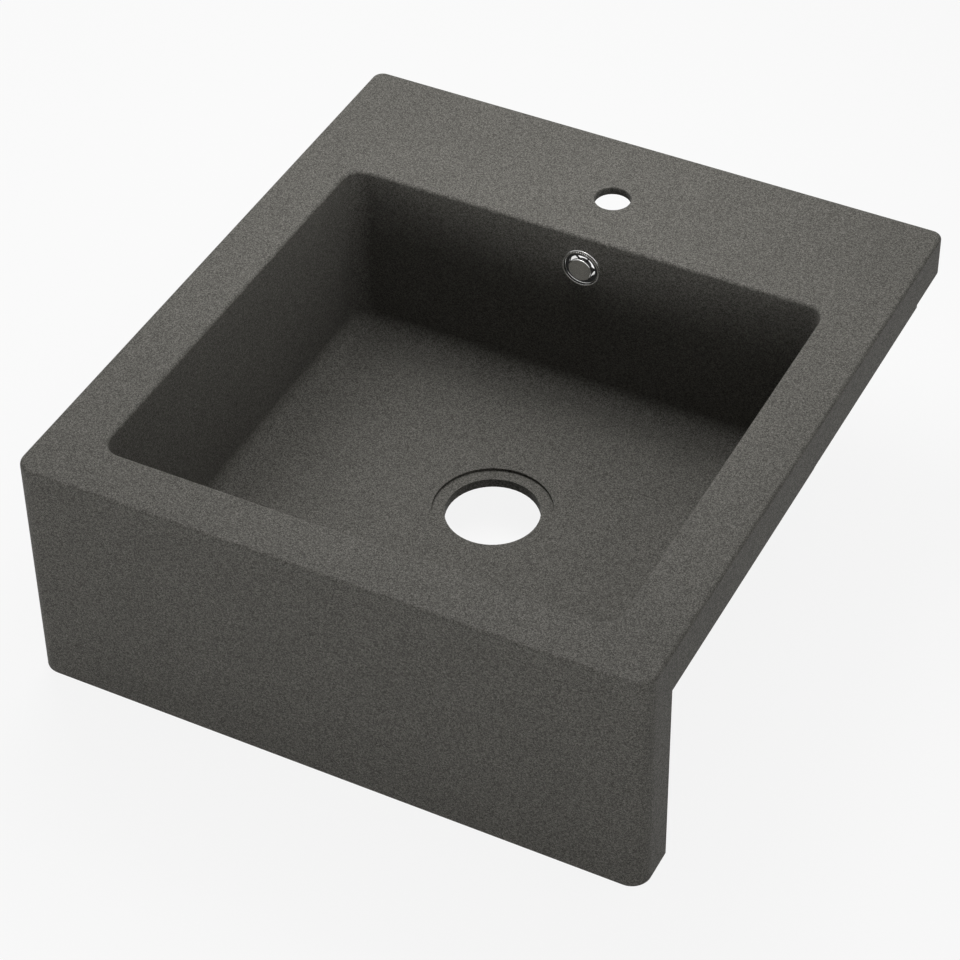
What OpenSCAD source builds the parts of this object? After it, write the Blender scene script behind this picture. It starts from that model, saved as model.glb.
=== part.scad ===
// Apron-front kitchen sink: one cast stone-composite shell with a deep square
// bowl, a rear deck with a tap hole, and a metal overflow fitting in its rear wall.
// Every piece is drawn with x across from the middle, y back from the apron's
// face and z up from the top of the rim, so most heights are below zero. Then
// it is set in the frame, whose origin is under the middle of the outline, at
// the level of the apron's lower edge.

/* [Outline] */
// Width over the two sides
body_w = 600; // [560:1:900]
// Depth from the apron's face to the rear edge
body_d = 660; // [620:1:720]
// Height of the apron, from the rim to its lower edge
apron_h = 244; // [225:1:300]
// How far the apron's side returns reach back
apron_return = 48; // [30:1:80]
// Height of the two sides and of the rear
side_h = 44; // [30:1:60]
// How much lower the sides end at the rear
heel_rise = 3; // [1:0.5:8]
// Length of the raised stretch at the rear
heel_l = 63; // [30:1:120]
// Radius of the two upright corners of the apron
front_corner_r = 18; // [12:0.5:30]
// Radius of the two upright rear corners
rear_corner_r = 11; // [10:0.5:25]
// Round along the outer top edge
top_edge_r = 3.5; // [1:0.5:6]
// Round along the apron's lower edge
lower_edge_r = 1.5; // [0.5:0.5:4]

/* [Casting] */
// Thickness of the rear deck and the rims
deck_t = 8; // [6:0.5:11]
// Thickness of the apron, the sides and the rear
skirt_t = 9; // [6:0.5:9]
// Thickness of the bowl's walls and floor
bowl_t = 8; // [6:0.5:14]
// How much larger the outside corners are than an even wall gives
outer_ease = 2; // [0:0.5:5]

/* [Bowl] */
// Width of the rim at each side of the bowl
side_rim = 55.5; // [45:0.5:90]
// Width of the rim in front of the bowl
front_rim = 53.5; // [45:0.5:90]
// Depth of the deck behind the bowl
rear_deck = 155; // [135:1:200]
// Depth of the bowl, from the rim to the edge of its floor
bowl_depth = 187; // [140:1:200]
// Radius of the bowl's corners and of the blend to its floor
bowl_r = 18; // [12:0.5:40]
// Round along the bowl's top edge
bowl_edge_r = 3.5; // [1:0.5:6]

/* [Drain] */
// Bore for the basket waste
drain_d = 90; // [60:0.5:92]
// Diameter of the seat for the waste's flange
drain_seat_d = 114.5; // [110:0.5:125]
// Depth of the seat
drain_seat_depth = 3; // [1:0.5:5]
// Thickness of the boss under the seat
drain_boss_t = 9.5; // [7:0.5:14]
// Width of the boss beyond the seat
drain_boss_lip = 6; // [3:0.5:12]
// Distance of the drain from the bowl's rear wall
drain_from_wall = 189; // [150:1:300]
// How far the floor falls towards the drain
floor_fall = 1.5; // [0.5:0.5:3]

/* [Tap hole] */
// Bore for the tap's shank
tap_d = 35; // [28:0.5:40]
// Distance of the tap hole from the rear edge
tap_from_rear = 89; // [50:1:110]
// Chamfer at the tap hole's mouth
tap_chamfer = 0.6; // [0.2:0.1:1.5]

/* [Overflow ring] */
// Distance of the overflow's axis below the rim
overflow_drop = 35.5; // [33:0.5:60]
// Outer diameter of the ring
ring_d = 38.4; // [37:0.2:42]
// How far the ring stands out from the wall
ring_h = 4.6; // [3:0.1:6]
// Thickness of the ring's rim
ring_rim_t = 1.8; // [1.2:0.1:2.2]
// Thickness of the ring's floor
ring_web_t = 1; // [0.6:0.1:1.4]
// Outer diameter of the barrel that passes through the wall
barrel_d = 30; // [29:0.2:31]
// Bore of the barrel
barrel_bore_d = 27; // [24:0.2:27.6]
// Gap between the barrel and the hole in the wall, all round
barrel_gap = 0.4; // [0.2:0.1:0.8]

/* [Overflow insert] */
// Thickness of the insert's toothed rim
insert_t = 1.6; // [1.2:0.1:2]
// How far the rim's inner edge stands back from the barrel's bore
insert_lip = 0.5; // [0.2:0.1:0.8]
// Number of teeth on the rim
tooth_count = 60; // [36:1:72]
// Height of a tooth
tooth_h = 0.5; // [0.2:0.1:0.8]
// Number of spokes
spoke_count = 6; // [4:1:10]
// Width of a spoke
spoke_w = 2; // [1:0.1:3]
// Thickness of a spoke
spoke_t = 1; // [0.6:0.1:1.1]
// Diameter of the hub
hub_d = 9.5; // [8:0.1:14]

/* [Overflow cap] */
// Diameter of the cap
cap_d = 23.6; // [18:0.2:24.6]
// Thickness of the cap
cap_t = 1.4; // [1:0.1:2]
// How far the cap's face stands in front of the ring's rim
cap_reach = 1.1; // [0.5:0.1:4]
// Width of the rolled edge around the face
cap_edge_w = 0.9; // [0.5:0.1:1.5]
// Diameter of the stem pressed into the hub
stem_d = 5; // [3:0.1:6]

/* [Overflow fixing] */
// Thickness of the rubber seal behind the wall
seal_t = 2; // [1:0.5:4]
// Outer diameter of the seal
seal_d = 42; // [40:0.5:44]
// Width of the back nut over its flats
nut_w = 38; // [36:0.5:40]
// Height of the back nut
nut_h = 6; // [4:0.5:10]
// Gap between the nut's bore and the barrel's thread crests
nut_gap = 0.1; // [0.05:0.05:0.3]

/* [Hidden] */

// Overrun of every cut past the face it goes through
over = 1;

// Smoothness of large, middling and small round shapes
$fn = 96;
corner_fn = 64;
fine_fn = 32;

// The bowl's opening and its place behind the apron
bowl_w = body_w - 2 * side_rim;
bowl_d = body_d - front_rim - rear_deck;
bowl_mid_y = front_rim + bowl_d / 2;
wall_y = front_rim + bowl_d;

// The drain's place and levels
drain_y = wall_y - drain_from_wall;
seat_z = -bowl_depth - floor_fall - drain_seat_depth;
boss_z = seat_z - drain_boss_t;
boss_d = drain_seat_d + 2 * drain_boss_lip;
fall_margin = 6;
fall_r = min(drain_from_wall, bowl_d - drain_from_wall, bowl_w / 2) - bowl_r - fall_margin;

// The tap hole's place
tap_y = body_d - tap_from_rear;

// Heights in the overflow fitting, counted from the wall towards the bowl
rim_r = ring_rim_t / 2;
cap_face = ring_h + cap_reach;
cap_back = cap_face - cap_t;
barrel_end = -bowl_t - seal_t - nut_h;

// The insert: it drops into the ring and lies on its floor
insert_gap = 0.1;
insert_r = ring_d / 2 - ring_rim_t - insert_gap;
insert_bore_r = barrel_bore_d / 2 + insert_lip;
tooth_share = 0.5;
groove_w = tooth_share * PI * (insert_r + insert_bore_r) / tooth_count;
hub_h = cap_back - ring_web_t;
spoke_turn = 3;

// The cap's stem and the hole for it in the hub
stem_gap = 0.05;
stem_l = hub_h / 2;

stone = "#55534f";
chrome = "#c9cbcc";
dark_plastic = "#2b2b2b";
rubber = "#1c1c1c";
nut_plastic = "#3a3a3a";

// Sets a piece drawn from the apron's face and the rim into the frame
module in_frame() {
    translate([0, -body_d / 2, apron_h]) children();
}

// Sets a piece drawn around z into the overflow hole, with z towards the bowl
module on_overflow_axis() {
    translate([0, wall_y, -overflow_drop]) rotate([90, 0, 0]) children();
}

// A rectangle from the front at y = 0 with round corners, drawn inset all round
module outline(inset = 0) {
    front_r = front_corner_r - inset;
    rear_r = rear_corner_r - inset;
    half_w = body_w / 2 - inset;
    length = body_d - 2 * inset;
    translate([0, inset]) {
        translate([-half_w + front_r, 0]) square([2 * (half_w - front_r), length / 2]);
        translate([-half_w + rear_r, length / 2]) square([2 * (half_w - rear_r), length / 2]);
        translate([-half_w, front_r]) square([2 * half_w, length - front_r - rear_r]);
        for (side = [-1, 1]) {
            translate([side * (half_w - front_r), front_r]) circle(front_r, $fn = corner_fn);
            translate([side * (half_w - rear_r), length - rear_r]) circle(rear_r, $fn = corner_fn);
        }
    }
}

// What a round of radius r takes off a corner whose solid lies at -x, -y
module corner_waste(r) {
    difference() {
        translate([-r, -r]) square(r + over);
        translate([-r, -r]) circle(r, $fn = corner_fn);
    }
}

// Carries a profile, drawn with x outwards, along a rectangle with round corners
module carry_round(w, d, front_r, rear_r) {
    for (side = [0, 1]) mirror([side, 0, 0]) {
        translate([w / 2, d - rear_r, 0]) rotate([90, 0, 0])
            linear_extrude(d - front_r - rear_r) children();
        translate([w / 2 - front_r, front_r, 0]) rotate([0, 0, -90])
            rotate_extrude(angle = 90, $fn = corner_fn) translate([front_r, 0]) children();
        translate([w / 2 - rear_r, d - rear_r, 0])
            rotate_extrude(angle = 90, $fn = corner_fn) translate([rear_r, 0]) children();
    }
    translate([-w / 2 + front_r, 0, 0]) rotate([90, 0, 90])
        linear_extrude(w - 2 * front_r) mirror([1, 0]) children();
    translate([-w / 2 + rear_r, d, 0]) rotate([90, 0, 90])
        linear_extrude(w - 2 * rear_r) children();
}

// A block with round upright corners and a round-edged floor, open upwards
module soft_block(w, d, depth, r, top) {
    inner_w = w - 2 * r;
    inner_d = d - 2 * r;
    translate([-w / 2, -inner_d / 2, r - depth]) cube([w, inner_d, depth - r + top]);
    translate([-inner_w / 2, -d / 2, r - depth]) cube([inner_w, d, depth - r + top]);
    translate([-inner_w / 2, -inner_d / 2, -depth]) cube([inner_w, inner_d, depth]);
    for (x = [-inner_w / 2, inner_w / 2]) {
        translate([x, inner_d / 2, r - depth]) rotate([90, 0, 0])
            cylinder(h = inner_d, r = r, $fn = corner_fn);
        for (y = [-inner_d / 2, inner_d / 2]) translate([x, y, r - depth]) {
            cylinder(h = depth - r + top, r = r, $fn = corner_fn);
            sphere(r, $fn = corner_fn);
        }
    }
    for (y = [-inner_d / 2, inner_d / 2]) translate([-inner_w / 2, y, r - depth])
        rotate([0, 90, 0]) cylinder(h = inner_w, r = r, $fn = corner_fn);
}

// Deck, sides, rear and apron: a shallow tray turned over, with a deep front
module casing() {
    translate([0, 0, -deck_t]) linear_extrude(deck_t) outline();
    translate([0, 0, -side_h]) linear_extrude(side_h) skirt_ring();
    intersection() {
        translate([0, 0, -apron_h]) linear_extrude(apron_h) skirt_ring();
        translate([-body_w / 2 - over, -over, -apron_h - over])
            cube([body_w + 2 * over, apron_return + over, apron_h + over]);
    }
}

module skirt_ring() {
    difference() {
        outline();
        outline(skirt_t);
    }
}

// Outside of the bowl, with the boss that the waste is clamped against
module bowl_shell() {
    outer_r = bowl_r + bowl_t + outer_ease;
    translate([0, bowl_mid_y, 0])
        soft_block(bowl_w + 2 * bowl_t, bowl_d + 2 * bowl_t, bowl_depth + bowl_t, outer_r, 0);
    translate([0, drain_y, -bowl_depth - bowl_t]) fall_cone(boss_d / 2, bowl_t);
    translate([0, drain_y, boss_z]) cylinder(h = seat_z - boss_z, d = boss_d);
}

// The floor's fall: level up to flat_r, then rising to the floor's edge
module fall_cone(flat_r, top) {
    rotate_extrude() polygon([
        [0, -floor_fall],
        [flat_r, -floor_fall],
        [fall_r, 0],
        [fall_r, top],
        [0, top]
    ]);
}

// Space inside the bowl, with the floor's fall and the seat around the drain
module bowl_space() {
    translate([0, bowl_mid_y, 0]) soft_block(bowl_w, bowl_d, bowl_depth, bowl_r, over);
    translate([0, drain_y, -bowl_depth]) fall_cone(drain_seat_d / 2, over);
    translate([0, drain_y, seat_z]) cylinder(h = -bowl_depth - seat_z, d = drain_seat_d);
    translate([0, drain_y, boss_z - over]) cylinder(h = bowl_depth, d = drain_d);
}

// Tap hole with a chamfered mouth
module tap_hole() {
    translate([0, tap_y, 0]) rotate_extrude() polygon([
        [0, -deck_t - over],
        [tap_d / 2, -deck_t - over],
        [tap_d / 2, -tap_chamfer],
        [tap_d / 2 + tap_chamfer, 0],
        [tap_d / 2 + tap_chamfer, over],
        [0, over]
    ]);
}

module sink_body() {
    color(stone) in_frame() difference() {
        union() {
            casing();
            bowl_shell();
        }
        bowl_space();
        tap_hole();
        on_overflow_axis() translate([0, 0, -bowl_t - over])
            cylinder(h = bowl_t + 2 * over, d = barrel_d + 2 * barrel_gap);
        carry_round(body_w, body_d, front_corner_r, rear_corner_r) corner_waste(top_edge_r);
        translate([0, 0, -apron_h]) carry_round(body_w, body_d, front_corner_r, rear_corner_r)
            mirror([0, 1]) corner_waste(lower_edge_r);
        translate([0, front_rim, 0]) carry_round(bowl_w, bowl_d, bowl_r, bowl_r)
            mirror([1, 0]) corner_waste(bowl_edge_r);
        translate([-body_w / 2 - over, body_d - heel_l, -side_h - over])
            cube([body_w + 2 * over, heel_l + over, heel_rise + over]);
    }
}

// Chromed ring: a cup with a rounded rim, and the barrel through the wall
module overflow_ring() {
    color(chrome) in_frame() on_overflow_axis() rotate_extrude() {
        translate([barrel_bore_d / 2, barrel_end])
            square([(barrel_d - barrel_bore_d) / 2, ring_web_t - barrel_end]);
        translate([barrel_bore_d / 2, 0])
            square([(ring_d - barrel_bore_d) / 2 - rim_r, ring_web_t]);
        translate([ring_d / 2 - ring_rim_t, 0]) square([ring_rim_t, ring_h - rim_r]);
        translate([ring_d / 2 - rim_r, ring_h - rim_r]) circle(rim_r, $fn = fine_fn);
    }
}

// Spoked insert that lies in the ring: a toothed rim, spokes and a hub
module overflow_insert() {
    color(dark_plastic) in_frame() on_overflow_axis() translate([0, 0, ring_web_t]) difference() {
        union() {
            difference() {
                cylinder(h = insert_t, r = insert_r);
                translate([0, 0, -over]) cylinder(h = insert_t + 2 * over, r = insert_bore_r);
            }
            for (i = [0 : spoke_count - 1]) rotate([0, 0, spoke_turn + i * 360 / spoke_count])
                translate([hub_d / 2 - spoke_w / 2, -spoke_w / 2, 0])
                    cube([insert_bore_r - hub_d / 2 + spoke_w, spoke_w, spoke_t]);
            cylinder(h = hub_h, d = hub_d);
        }
        for (i = [0 : tooth_count - 1]) rotate([0, 0, (i + tooth_share) * 360 / tooth_count])
            translate([insert_bore_r - over, -groove_w / 2, insert_t - tooth_h])
                cube([insert_r - insert_bore_r + 2 * over, groove_w, tooth_h + over]);
        translate([0, 0, hub_h - stem_l - stem_gap])
            cylinder(h = stem_l + stem_gap + over, d = stem_d + 2 * stem_gap);
    }
}

// Chromed cap: a flat disc with a rolled edge, and a stem pressed into the hub
module overflow_cap() {
    color(chrome) in_frame() on_overflow_axis() rotate_extrude() {
        translate([0, cap_back]) square([cap_d / 2 - cap_t / 2, cap_t - cap_edge_w / 4]);
        translate([cap_d / 2 - cap_t / 2 - cap_edge_w / 2, cap_back]) square([cap_edge_w / 2, cap_t]);
        translate([cap_d / 2 - cap_t / 2, cap_back + cap_t / 2]) circle(cap_t / 2, $fn = fine_fn);
        translate([0, cap_back - stem_l]) square([stem_d / 2, stem_l + cap_t / 2]);
    }
}

// Flat rubber seal behind the bowl's rear wall
module overflow_seal() {
    color(rubber) in_frame() on_overflow_axis() translate([0, 0, -bowl_t - seal_t]) difference() {
        cylinder(h = seal_t, d = seal_d);
        translate([0, 0, -over]) cylinder(h = seal_t + 2 * over, d = barrel_d + 2 * nut_gap);
    }
}

// Six-sided back nut that draws the ring against the wall
module overflow_back_nut() {
    color(nut_plastic) in_frame() on_overflow_axis() translate([0, 0, barrel_end]) difference() {
        cylinder(h = nut_h, d = nut_w / cos(30), $fn = 6);
        translate([0, 0, -over]) cylinder(h = nut_h + 2 * over, d = barrel_d + 2 * nut_gap);
    }
}

sink_body();
overflow_ring();
overflow_insert();
overflow_cap();
overflow_seal();
overflow_back_nut();
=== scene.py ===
"""An apron-front kitchen sink in dark stone composite, dressed around its CAD frame."""

import math

import bmesh
import bpy
import numpy as np
from mathutils import Matrix, Vector


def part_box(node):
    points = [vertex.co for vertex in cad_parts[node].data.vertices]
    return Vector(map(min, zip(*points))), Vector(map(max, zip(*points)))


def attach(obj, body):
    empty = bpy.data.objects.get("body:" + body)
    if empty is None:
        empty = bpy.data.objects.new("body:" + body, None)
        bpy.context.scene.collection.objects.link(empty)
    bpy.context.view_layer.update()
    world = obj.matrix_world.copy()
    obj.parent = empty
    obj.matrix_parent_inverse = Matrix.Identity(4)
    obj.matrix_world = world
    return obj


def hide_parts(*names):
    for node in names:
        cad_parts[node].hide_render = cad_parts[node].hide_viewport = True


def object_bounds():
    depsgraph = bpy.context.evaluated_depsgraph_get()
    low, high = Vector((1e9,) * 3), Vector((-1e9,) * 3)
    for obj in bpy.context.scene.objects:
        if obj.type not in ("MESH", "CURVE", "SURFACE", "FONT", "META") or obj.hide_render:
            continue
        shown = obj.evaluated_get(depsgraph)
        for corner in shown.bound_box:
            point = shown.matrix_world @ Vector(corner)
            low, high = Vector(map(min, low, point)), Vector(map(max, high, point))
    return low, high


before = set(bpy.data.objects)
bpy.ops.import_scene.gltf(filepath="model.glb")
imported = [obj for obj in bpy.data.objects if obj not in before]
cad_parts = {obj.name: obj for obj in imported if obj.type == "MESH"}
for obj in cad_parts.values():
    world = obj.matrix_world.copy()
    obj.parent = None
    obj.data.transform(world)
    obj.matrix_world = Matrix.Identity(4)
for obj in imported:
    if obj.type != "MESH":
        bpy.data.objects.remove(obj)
cad_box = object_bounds()


# The sink body is one casting of quartz grit in resin, tinted right through. The mould leaves
# its show faces matt, with the grit just visible as light and dark specks. The underside and
# the outside of the bowl are the open side of the casting: duller, plainer and a shade paler.
GRIT_SIZE = 0.0008
GRIT_SHARE = 0.55
GRIT_BUMP = 0.35
GRIT_HEIGHT = 0.0001
FINE_GRAINS_PER_GRIT = 1.4
MOTTLE_SIZE = 0.045
MOTTLE_DEPTH = 0.16
STONE_DARK = (0.042, 0.040, 0.0355)
STONE_MID = (0.117, 0.113, 0.1025)
STONE_LIGHT = (0.255, 0.246, 0.224)
DARK_TONE = 0.14
MID_TONE = 0.50
LIGHT_TONE = 0.92
STONE_SHEEN = 0.05
DARK_ROUGHNESS = 0.62
LIGHT_ROUGHNESS = 0.52
RAW_PALE = (0.152, 0.148, 0.138)
RAW_SHARE = 0.45
RAW_ROUGHER = 0.2

# These place the raw side. The show faces keep their finish down to the depths named kept, and
# the drain's bore out to the radius named so. What lies beyond them is raw.
SIDE_RIM = 0.0555
FRONT_RIM = 0.0535
DECK_DEPTH = 0.1550
BOWL_DEPTH = 0.1870
HALF_WALL = 0.0040
DRAIN_FROM_WALL = 0.1890
DRAIN_KEPT = 0.0460
SEAT_KEPT = 0.0060
SKIRT_KEPT = 0.0095
DECK_KEPT = 0.0055


def new_material(name):
    """A node material that holds a principled shader, its tree and that shader."""
    material = bpy.data.materials.new(name)
    material.use_nodes = True
    tree = material.node_tree
    return material, tree, tree.nodes["Principled BSDF"]


def add_node(tree, kind, settings=None, **inputs):
    """A node with its settings and inputs; an input given as a socket is linked."""
    node = tree.nodes.new(kind)
    for key, value in (settings or {}).items():
        setattr(node, key, value)
    for key, value in inputs.items():
        socket = node.inputs[int(key[3:])] if key.startswith("in_") else node.inputs[key.replace("_", " ")]
        if isinstance(value, bpy.types.NodeSocket):
            tree.links.new(value, socket)
        else:
            socket.default_value = value
    return node


def maths(tree, operation, *values):
    """The result socket of a Math node on sockets or numbers."""
    inputs = {f"in_{i}": value for i, value in enumerate(values)}
    return add_node(tree, "ShaderNodeMath", {"operation": operation}, **inputs).outputs[0]


def blend_colours(tree, share, first, second):
    """A colour that goes from first to second as share goes from 0 to 1."""
    node = tree.nodes.new("ShaderNodeMix")
    node.data_type = "RGBA"
    for socket, value in ((node.inputs[0], share), (node.inputs[6], first), (node.inputs[7], second)):
        if isinstance(value, bpy.types.NodeSocket):
            tree.links.new(value, socket)
        else:
            socket.default_value = value if isinstance(value, float) else (*value, 1.0)
    return node.outputs[2]


def inside(tree, value, low, high):
    """1 where value lies between low and high, and 0 elsewhere."""
    above = maths(tree, "GREATER_THAN", value, low)
    return maths(tree, "MULTIPLY", above, maths(tree, "LESS_THAN", value, high))


def raw_side(tree, place):
    """1 on the casting's open side, inside the skirt and under the deck but outside the bowl, else 0."""
    low, high = cad_box
    rear_wall = high.y - DECK_DEPTH
    split = add_node(tree, "ShaderNodeSeparateXYZ", in_0=place).outputs
    across = maths(tree, "ABSOLUTE", split["X"])
    skirt = inside(tree, split["Y"], low.y + SKIRT_KEPT, high.y - SKIRT_KEPT)
    skirt = maths(tree, "MULTIPLY", skirt, maths(tree, "LESS_THAN", across, high.x - SKIRT_KEPT))
    skirt = maths(tree, "MULTIPLY", skirt, maths(tree, "LESS_THAN", split["Z"], high.z - DECK_KEPT))
    bowl = inside(tree, split["Y"], low.y + FRONT_RIM - HALF_WALL, rear_wall + HALF_WALL)
    bowl = maths(tree, "MULTIPLY", bowl, maths(tree, "LESS_THAN", across, high.x - SIDE_RIM + HALF_WALL))
    above_floor = maths(tree, "GREATER_THAN", split["Z"], high.z - BOWL_DEPTH - SEAT_KEPT)
    bowl = maths(tree, "MULTIPLY", bowl, above_floor)
    level = add_node(tree, "ShaderNodeVectorMath", {"operation": "MULTIPLY"}, in_0=place, in_1=(1, 1, 0))
    drain = (0.0, rear_wall - DRAIN_FROM_WALL, 0.0)
    away = add_node(
        tree, "ShaderNodeVectorMath", {"operation": "DISTANCE"}, in_0=level.outputs[0], in_1=drain
    )
    bored = maths(tree, "LESS_THAN", away.outputs["Value"], DRAIN_KEPT)
    shown = maths(tree, "MAXIMUM", bowl, bored)
    return maths(tree, "MULTIPLY", skirt, maths(tree, "SUBTRACT", 1.0, shown))


def stone_composite():
    """Grit as the random greys of small Voronoi cells, broken up by noise, over a faint cloudy mottle."""
    material, tree, shader = new_material("stone_composite")
    place = add_node(tree, "ShaderNodeTexCoord").outputs["Object"]
    grit = add_node(tree, "ShaderNodeTexVoronoi", Vector=place, Scale=1 / GRIT_SIZE)
    mottle = add_node(tree, "ShaderNodeTexNoise", Vector=place, Scale=1 / MOTTLE_SIZE, Detail=4.0)
    fineness = FINE_GRAINS_PER_GRIT / GRIT_SIZE
    fine = add_node(tree, "ShaderNodeTexNoise", Vector=place, Scale=fineness, Detail=2.0)
    greys = add_node(tree, "ShaderNodeSeparateColor", in_0=grit.outputs["Color"]).outputs[0]
    fine_share = maths(tree, "MULTIPLY", fine.outputs["Fac"], 1 - GRIT_SHARE)
    tone = maths(tree, "MULTIPLY_ADD", greys, GRIT_SHARE, fine_share)
    ramp = add_node(tree, "ShaderNodeValToRGB", in_0=tone)
    dark, light = ramp.color_ramp.elements
    dark.position, dark.color = DARK_TONE, (*STONE_DARK, 1)
    light.position, light.color = LIGHT_TONE, (*STONE_LIGHT, 1)
    ramp.color_ramp.elements.new(MID_TONE).color = (*STONE_MID, 1)
    lift = maths(tree, "MULTIPLY_ADD", mottle.outputs["Fac"], MOTTLE_DEPTH, 1 - MOTTLE_DEPTH / 2)
    scaling = {"operation": "SCALE"}
    cloudy = add_node(tree, "ShaderNodeVectorMath", scaling, in_0=ramp.outputs["Color"], Scale=lift)
    raw = raw_side(tree, place)
    paler = blend_colours(tree, maths(tree, "MULTIPLY", raw, RAW_SHARE), cloudy.outputs[0], RAW_PALE)
    tree.links.new(paler, shader.inputs["Base Color"])
    shader.inputs["Specular IOR Level"].default_value = STONE_SHEEN
    rough = add_node(
        tree, "ShaderNodeMapRange", Value=tone, To_Min=DARK_ROUGHNESS, To_Max=LIGHT_ROUGHNESS
    )
    rougher = maths(tree, "MULTIPLY_ADD", raw, RAW_ROUGHER, rough.outputs[0])
    tree.links.new(rougher, shader.inputs["Roughness"])
    bump = add_node(
        tree, "ShaderNodeBump", Strength=GRIT_BUMP, Distance=GRIT_HEIGHT, Height=fine.outputs["Fac"]
    )
    tree.links.new(bump.outputs[0], shader.inputs["Normal"])
    return material


def dress(node, material):
    """Gives every slot of a CAD node the material."""
    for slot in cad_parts[node].material_slots:
        slot.material = material


dress("sink_body", stone_composite())


# The overflow's ring stands in the hole in the bowl's rear wall. It is turned brass, chromed: a
# bead that lies on the wall, a rim with flutes around it, a hollowed floor for the insert, and
# the barrel that passes through the wall, with a wider mouth.
SOLID_RING_REACH = 0.0046
RING_HEIGHT = 0.0039
BEAD_OUTER = 0.0192
BEAD_ROUND = 0.0007
RIM_OUTER = 0.0189
RIM_THICK = 0.0013
RIM_EDGE_ROUND = 0.0002
FLUTE_COUNT = 60
FLUTE_HALF_WIDTH = 0.0006
FLUTE_DEPTH = 0.0003
FLUTE_START = 0.0016
FLOOR_THICK = 0.0010
FLOOR_FILLET = 0.0008
BARREL_OUTER = 0.0150
BARREL_BORE = 0.0135
BARREL_END = -0.0160
MOUTH_BORE = 0.0146
MOUTH_END = -0.0034
STEPS_PER_FLUTE = 10
MERGE_REACH = 0.000002
CRISP_ANGLE = math.radians(35)
CHROME = (0.80, 0.80, 0.79)
CHROME_HAZED = 0.94
HAZE_SIZE = 0.004
BRIGHT_ROUGHNESS = 0.05
HAZED_ROUGHNESS = 0.12

# The solid ring stands out of the wall by its reach, which gives the place of the wall's face.
ring_low, ring_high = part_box("overflow_ring")
wall_face = ring_low.y + SOLID_RING_REACH
axis_level = (ring_low.z + ring_high.z) / 2


def on_overflow(out, up, height):
    """Points out and up from the overflow's axis, at a height in front of the bowl's wall."""
    return np.stack(np.broadcast_arrays(out, wall_face - height, axis_level + up), axis=-1)


def arc(middle, height, round_radius, start, end, count=9):
    """Points (radius, height) on a circle about (middle, height), from the start to the end in degrees."""
    turn = np.radians(np.linspace(start, end, count))
    return list(zip(middle + round_radius * np.cos(turn), height + round_radius * np.sin(turn)))


def turned(profile, steps=96, cut=None):
    """A closed loop of (radius, height) carried round the axis: out = r cos t, up = r sin t.

    Where a cut is given, cut(r, height, t) narrows the radius.
    """
    radius, height = np.array(profile).T[:, :, None]
    angle = np.linspace(0, 2 * np.pi, steps, endpoint=False)[None, :]
    radius = radius if cut is None else cut(radius, height, angle)
    points = on_overflow(radius * np.cos(angle), radius * np.sin(angle), height).reshape(-1, 3)
    i, j = np.meshgrid(np.arange(len(profile)), np.arange(steps), indexing="ij")
    i_next, j_next = (i + 1) % len(profile), (j + 1) % steps
    corners = [i * steps + j, i_next * steps + j, i_next * steps + j_next, i * steps + j_next]
    return points, np.stack(corners, axis=-1).reshape(-1, 4)


def flutes(radius, height, angle):
    """Above FLUTE_START, r stays under rim - depth (1 - (x / half width)^2), x running across a flute."""
    pitch = 2 * np.pi / FLUTE_COUNT
    across = RIM_OUTER * ((angle % pitch) - pitch / 2) / FLUTE_HALF_WIDTH
    bottom = RIM_OUTER - FLUTE_DEPTH * np.clip(1 - across**2, 0, 1)
    return np.where(height > FLUTE_START, np.minimum(radius, bottom), radius)


def overflow_piece(name, shells, material, node):
    """A piece of closed shells, given as points and faces, that stands for a CAD node."""
    starts = np.cumsum([0] + [len(points) for points, _ in shells[:-1]])
    points = np.concatenate([points for points, _ in shells])
    faces = np.concatenate([faces + start for (_, faces), start in zip(shells, starts)])
    mesh = bpy.data.meshes.new(name)
    mesh.from_pydata(points.tolist(), [], faces.tolist())
    edit = bmesh.new()
    edit.from_mesh(mesh)
    bmesh.ops.remove_doubles(edit, verts=edit.verts, dist=MERGE_REACH)
    bmesh.ops.recalc_face_normals(edit, faces=edit.faces)
    edit.to_mesh(mesh)
    edit.free()
    mesh.shade_smooth()
    mesh.set_sharp_from_angle(angle=CRISP_ANGLE)
    mesh.materials.append(material)
    piece = bpy.data.objects.new(name, mesh)
    bpy.context.scene.collection.objects.link(piece)
    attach(piece, "root")
    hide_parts(node)


def chrome():
    """Bright plating with faint cloudy haze."""
    material, tree, shader = new_material("chrome")
    place = add_node(tree, "ShaderNodeTexCoord").outputs["Object"]
    noise = add_node(tree, "ShaderNodeTexNoise", Vector=place, Scale=1 / HAZE_SIZE, Detail=3.0)
    haze = noise.outputs["Fac"]
    rough = add_node(
        tree, "ShaderNodeMapRange", Value=haze, To_Min=BRIGHT_ROUGHNESS, To_Max=HAZED_ROUGHNESS
    )
    tree.links.new(rough.outputs[0], shader.inputs["Roughness"])
    tint = blend_colours(tree, haze, CHROME, tuple(CHROME_HAZED * part for part in CHROME))
    tree.links.new(tint, shader.inputs["Base Color"])
    shader.inputs["Metallic"].default_value = 1.0
    return material


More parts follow.
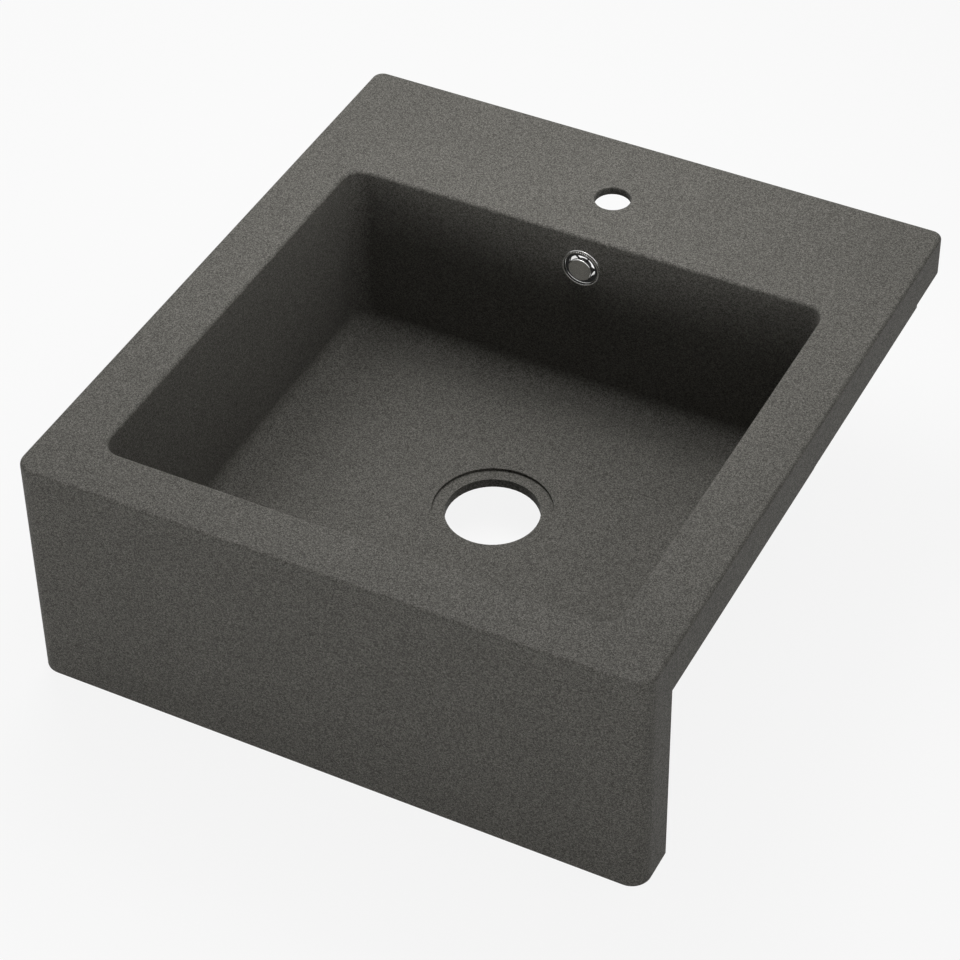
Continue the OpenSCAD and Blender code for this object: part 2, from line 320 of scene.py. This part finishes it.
rim_inner = RIM_OUTER - RIM_THICK
rim_edge = RING_HEIGHT - RIM_EDGE_ROUND
bead_middle = BEAD_OUTER - BEAD_ROUND
bead_meets_rim = math.degrees(math.acos((RIM_OUTER - bead_middle) / BEAD_ROUND))
ring_profile = [
    (BARREL_BORE, BARREL_END), (BARREL_BORE, MOUTH_END), (MOUTH_BORE, MOUTH_END), (MOUTH_BORE, FLOOR_THICK),
    *arc(rim_inner - FLOOR_FILLET, FLOOR_THICK + FLOOR_FILLET, FLOOR_FILLET, -90, 0),
    *arc(rim_inner + RIM_EDGE_ROUND, rim_edge, RIM_EDGE_ROUND, 180, 90),
    *arc(RIM_OUTER - RIM_EDGE_ROUND, rim_edge, RIM_EDGE_ROUND, 90, 0),
    (RIM_OUTER, FLUTE_START + MERGE_REACH), (RIM_OUTER, FLUTE_START),
    *arc(bead_middle, BEAD_ROUND, BEAD_ROUND, bead_meets_rim, -90),
    (BARREL_OUTER, 0.0), (BARREL_OUTER, BARREL_END),
]
plating = chrome()
ring_surface = turned(ring_profile, STEPS_PER_FLUTE * FLUTE_COUNT, flutes)
overflow_piece("fluted_ring", [ring_surface], plating, "overflow_ring")


# The cap is a brass disc with a round edge, chromed like the ring. It covers the insert's hub
# and is pressed into it by its stem.
CAP_OUTER = 0.0119
CAP_FACE = 0.0057
CAP_BACK = 0.0034
CAP_ROUND = 0.0008
STEM_RADIUS = 0.0025
STEM_END = -0.0006

cap_profile = [
    (0.0, CAP_FACE), *arc(CAP_OUTER - CAP_ROUND, CAP_FACE - CAP_ROUND, CAP_ROUND, 90, 0),
    (CAP_OUTER, CAP_BACK), (STEM_RADIUS, CAP_BACK), (STEM_RADIUS, STEM_END), (0.0, STEM_END),
]
overflow_piece("round_edged_cap", [turned(cap_profile)], plating, "overflow_cap")


# The spoked insert is one moulding of dark plastic. Its flange lies on the ring's floor with
# its collar in the barrel's mouth, and six spokes slope down from the collar to the hub, which
# is hollow from behind and takes the cap's stem.
FLANGE_OUTER = 0.0166
FLANGE_TOP = 0.0016
COLLAR_INNER = 0.0140
COLLAR_OUTER = 0.0145
COLLAR_END = -0.0008
SPOKE_COUNT = 6
SPOKE_WIDTH = 0.0016
SPOKE_DEPTH = 0.0010
HUB_END = -0.0033
HUB_OUTER = 0.0083
HUB_INNER = 0.0070
HUB_FRONT = 0.0015
BOSS_OUTER = 0.0040
STEM_HOLE = 0.00255
INSERT_PLASTIC = (0.030, 0.030, 0.030)
GRAIN_DARKER = 0.8
GRAIN_LIGHTER = 1.25
GRAIN_ROUGHNESS = 0.06
GRAIN_BUMP = 0.3


def moulded(name, colour, grain_size, roughness, bump_height):
    """Plastic or rubber from a mould, with a fine even grain in its colour and surface."""
    material, tree, shader = new_material(name)
    place = add_node(tree, "ShaderNodeTexCoord").outputs["Object"]
    noise = add_node(tree, "ShaderNodeTexNoise", Vector=place, Scale=1 / grain_size, Detail=3.0)
    grain = noise.outputs["Fac"]
    darker = tuple(GRAIN_DARKER * part for part in colour)
    lighter = tuple(GRAIN_LIGHTER * part for part in colour)
    tree.links.new(blend_colours(tree, grain, darker, lighter), shader.inputs["Base Color"])
    least, most = roughness - GRAIN_ROUGHNESS, roughness + GRAIN_ROUGHNESS
    rough = add_node(tree, "ShaderNodeMapRange", Value=grain, To_Min=least, To_Max=most)
    tree.links.new(rough.outputs[0], shader.inputs["Roughness"])
    bump = add_node(tree, "ShaderNodeBump", Strength=GRAIN_BUMP, Distance=bump_height, Height=grain)
    tree.links.new(bump.outputs[0], shader.inputs["Normal"])
    return material


def spoke(angle):
    """A bar of eight corners that slopes from the middle of the hub's wall up to that of the collar.

    Each corner, at l along the bar and w across it, is turned about the axis by the angle t:
    out = l cos t - w sin t, up = l sin t + w cos t.
    """
    reach = [(HUB_OUTER + HUB_INNER) / 2, (COLLAR_INNER + COLLAR_OUTER) / 2]
    sides = [-SPOKE_WIDTH / 2, SPOKE_WIDTH / 2]
    foot = np.array([HUB_END, COLLAR_END])[:, None, None]
    along, across, height = np.meshgrid(reach, sides, [0, SPOKE_DEPTH], indexing="ij")
    out = along * math.cos(angle) - across * math.sin(angle)
    up = along * math.sin(angle) + across * math.cos(angle)
    corners = np.array([(0, 1, 3, 2), (4, 6, 7, 5), (0, 4, 5, 1), (2, 3, 7, 6), (0, 2, 6, 4), (1, 5, 7, 3)])
    return on_overflow(out, up, foot + height).reshape(-1, 3), corners


collar = turned([
    (COLLAR_INNER, FLANGE_TOP), (FLANGE_OUTER, FLANGE_TOP), (FLANGE_OUTER, FLOOR_THICK),
    (COLLAR_OUTER, FLOOR_THICK), (COLLAR_OUTER, COLLAR_END), (COLLAR_INNER, COLLAR_END),
])
hub = turned([
    (STEM_HOLE, CAP_BACK), (HUB_OUTER, CAP_BACK), (HUB_OUTER, HUB_END), (HUB_INNER, HUB_END),
    (HUB_INNER, CAP_BACK - HUB_FRONT), (BOSS_OUTER, CAP_BACK - HUB_FRONT), (BOSS_OUTER, HUB_END),
    (STEM_HOLE, HUB_END),
])
spokes = [spoke(2 * math.pi * i / SPOKE_COUNT) for i in range(SPOKE_COUNT)]
insert_plastic = moulded(
    "dark_plastic", INSERT_PLASTIC, grain_size=0.0006, roughness=0.42, bump_height=0.00003
)
overflow_piece("spoked_insert", [collar, hub, *spokes], insert_plastic, "overflow_insert")


# Behind the wall a rubber seal and a plastic back nut, both on the barrel, hold the fitting.
# Their solids have the right shape, so they only get their materials here.
SEAL_RUBBER = (0.020, 0.020, 0.020)
NUT_PLASTIC = (0.050, 0.050, 0.050)

seal_rubber = moulded("seal_rubber", SEAL_RUBBER, grain_size=0.0008, roughness=0.75, bump_height=0.00004)
nut_plastic = moulded("nut_plastic", NUT_PLASTIC, grain_size=0.0010, roughness=0.5, bump_height=0.00005)
dress("overflow_seal", seal_rubber)
dress("overflow_back_nut", nut_plastic)


# The floor is a sheet of white studio paper. The camera sees it, and the world behind it, as
# plain white; it still takes the sink's shadow and throws light back up.
PAPER_SIZE = 9.0
PAPER_WHITE = (0.80, 0.80, 0.80)
SHADOW_SHARE = 0.12


def looked_at(tree):
    """1 for a ray from the camera and for one that a glossy or clear surface sends on, and 0 for others."""
    rays = add_node(tree, "ShaderNodeLightPath").outputs
    seen = maths(tree, "MAXIMUM", rays["Is Camera Ray"], rays["Is Glossy Ray"])
    return maths(tree, "MAXIMUM", seen, rays["Is Transmission Ray"])


def white_paper():
    """Diffuse paper for the light, and near-white of its own for what the camera sees."""
    material, tree, shader = new_material("white_paper")
    shader.inputs["Base Color"].default_value = (*PAPER_WHITE, 1)
    shader.inputs["Roughness"].default_value = 1.0
    shader.inputs["Specular IOR Level"].default_value = 0.0
    glow = add_node(tree, "ShaderNodeEmission", Color=(1, 1, 1, 1), Strength=1.0)
    seen = maths(tree, "MULTIPLY", looked_at(tree), 1 - SHADOW_SHARE)
    mix = add_node(tree, "ShaderNodeMixShader", in_0=seen, in_1=shader.outputs[0], in_2=glow.outputs[0])
    tree.links.new(mix.outputs[0], tree.nodes["Material Output"].inputs["Surface"])
    return material


half = PAPER_SIZE / 2
paper_mesh = bpy.data.meshes.new("paper")
paper_mesh.from_pydata(
    [(-half, -half, 0), (half, -half, 0), (half, half, 0), (-half, half, 0)], [], [(0, 1, 2, 3)]
)
paper_mesh.materials.append(white_paper())
paper = bpy.data.objects.new("paper", paper_mesh)
bpy.context.scene.collection.objects.link(paper)


# Studio light: a small soft box close above the bowl and a large one high on the left. The room
# adds a low glow in front, faint ones low on both sides, a pale one high on the right and
# behind, and one overhead. Whatever looks at the room, or mirrors it, finds it plain white.
FRONT_GLOW = 3.9
FRONT_GLOW_ENDS = (-0.85, -0.55)
FRONT_GLOW_TOP = (0.10, 0.20)
SIDE_GLOW = 1.05
SIDE_GLOW_ENDS = (0.55, 0.85)
SIDE_GLOW_HEIGHTS = (0.14, 0.34)
SIDE_GLOW_SOFT = 0.03
HIGH_GLOW = 0.80
HIGH_GLOW_ENDS = (-0.15, 0.15)
HIGH_GLOW_HEIGHTS = (0.58, 0.82)
HIGH_GLOW_SOFT = 0.05
OVERHEAD_GLOW = 1.05
OVERHEAD_GLOW_EDGE = (0.90, 0.97)
NEAR_BOX_PLACE = (0.0, 0.2, 0.8)
NEAR_BOX_SIZE = 0.3
NEAR_BOX_WATTS = 1.6
LEFT_BOX_PLACE = (-0.7, 0.6, 1.5)
LEFT_BOX_SIZE = 0.9
LEFT_BOX_WATTS = 11.3
BOX_AIM = (0.0, 0.0, 0.2)

world = bpy.data.worlds.new("room")
bpy.context.scene.world = world
world.use_nodes = True
sky = world.node_tree
room = sky.nodes["Background"]
room.inputs["Color"].default_value = (1, 1, 1, 1)
direction = add_node(sky, "ShaderNodeTexCoord").outputs["Generated"]
heading = add_node(sky, "ShaderNodeSeparateXYZ", in_0=direction).outputs


def fade(value, edge, first, last):
    """A smooth change from first to last while value crosses the edge, from its start to its end."""
    limits = {"From_Min": edge[0], "From_Max": edge[1], "To_Min": first, "To_Max": last}
    smooth = {"interpolation_type": "SMOOTHSTEP"}
    return add_node(sky, "ShaderNodeMapRange", smooth, Value=value, **limits).outputs[0]


def glow_between(heights, soft, strength):
    """A glow of that strength where the sine of the height above the horizon lies between the heights."""
    low, high = heights
    from_below = fade(heading["Z"], (low - soft, low + soft), 0.0, strength)
    return maths(sky, "MULTIPLY", from_below, fade(heading["Z"], (high - soft, high + soft), 1.0, 0.0))


in_front = fade(heading["Y"], FRONT_GLOW_ENDS, 1.0, 0.0)
beside = fade(maths(sky, "ABSOLUTE", heading["X"]), SIDE_GLOW_ENDS, 0.0, 1.0)
right_or_behind = fade(maths(sky, "ADD", heading["X"], heading["Y"]), HIGH_GLOW_ENDS, 0.0, 1.0)
low_glow = fade(heading["Z"], FRONT_GLOW_TOP, FRONT_GLOW, 0.0)
side_glow = glow_between(SIDE_GLOW_HEIGHTS, SIDE_GLOW_SOFT, SIDE_GLOW)
high_glow = glow_between(HIGH_GLOW_HEIGHTS, HIGH_GLOW_SOFT, HIGH_GLOW)
glow = fade(heading["Z"], OVERHEAD_GLOW_EDGE, 0.0, OVERHEAD_GLOW)
for where, strength in ((in_front, low_glow), (beside, side_glow), (right_or_behind, high_glow)):
    glow = maths(sky, "MULTIPLY_ADD", where, strength, glow)
seen = looked_at(sky)
lighting = maths(sky, "MULTIPLY", glow, maths(sky, "SUBTRACT", 1.0, seen))
sky.links.new(maths(sky, "ADD", lighting, seen), room.inputs["Strength"])


def soft_box(name, place, size, watts):
    """A square area lamp at a place, aimed at the bowl."""
    lamp = bpy.data.lights.new(name, "AREA")
    lamp.shape = "SQUARE"
    lamp.size = size
    lamp.energy = watts
    obj = bpy.data.objects.new(name, lamp)
    bpy.context.scene.collection.objects.link(obj)
    obj.location = place
    obj.rotation_euler = (Vector(place) - Vector(BOX_AIM)).to_track_quat("Z", "Y").to_euler()
    obj.visible_camera = False


soft_box("near_box", NEAR_BOX_PLACE, NEAR_BOX_SIZE, NEAR_BOX_WATTS)
soft_box("left_box", LEFT_BOX_PLACE, LEFT_BOX_SIZE, LEFT_BOX_WATTS)


# The camera stands where the photograph was taken from: in front, to the right and above. Its
# lens and the centre of its picture are in pixels of the photograph's frame.
LENS_PIXELS = 3158.0
FRAME_PIXELS = 960
FILM_WIDTH = 36.0
CENTRE_X = 507.2
CENTRE_Y = 424.7
CAMERA_PLACE = (0.9895, -1.9359, 2.0446)
CAMERA_AZIMUTH = math.radians(26.869)
CAMERA_ELEVATION = math.radians(41.088)
CAMERA_ROLL = math.radians(-0.395)

camera_data = bpy.data.cameras.new("camera")
camera_data.sensor_width = FILM_WIDTH
camera_data.lens = FILM_WIDTH * LENS_PIXELS / FRAME_PIXELS
camera_data.shift_x = (FRAME_PIXELS / 2 - CENTRE_X) / FRAME_PIXELS
camera_data.shift_y = (CENTRE_Y - FRAME_PIXELS / 2) / FRAME_PIXELS
camera = bpy.data.objects.new("camera", camera_data)
bpy.context.scene.collection.objects.link(camera)
bpy.context.scene.camera = camera
backward = Vector((
    math.sin(CAMERA_AZIMUTH) * math.cos(CAMERA_ELEVATION),
    -math.cos(CAMERA_AZIMUTH) * math.cos(CAMERA_ELEVATION),
    math.sin(CAMERA_ELEVATION),
))
level_right = Vector((math.cos(CAMERA_AZIMUTH), math.sin(CAMERA_AZIMUTH), 0))
level_up = backward.cross(level_right)
right = level_right * math.cos(CAMERA_ROLL) + level_up * math.sin(CAMERA_ROLL)
up = level_up * math.cos(CAMERA_ROLL) - level_right * math.sin(CAMERA_ROLL)
turn = Matrix((right, up, backward)).transposed().to_4x4()
camera.matrix_world = Matrix.Translation(CAMERA_PLACE) @ turn

bpy.context.scene.view_settings.view_transform = "Standard"
bpy.context.view_layer.update()
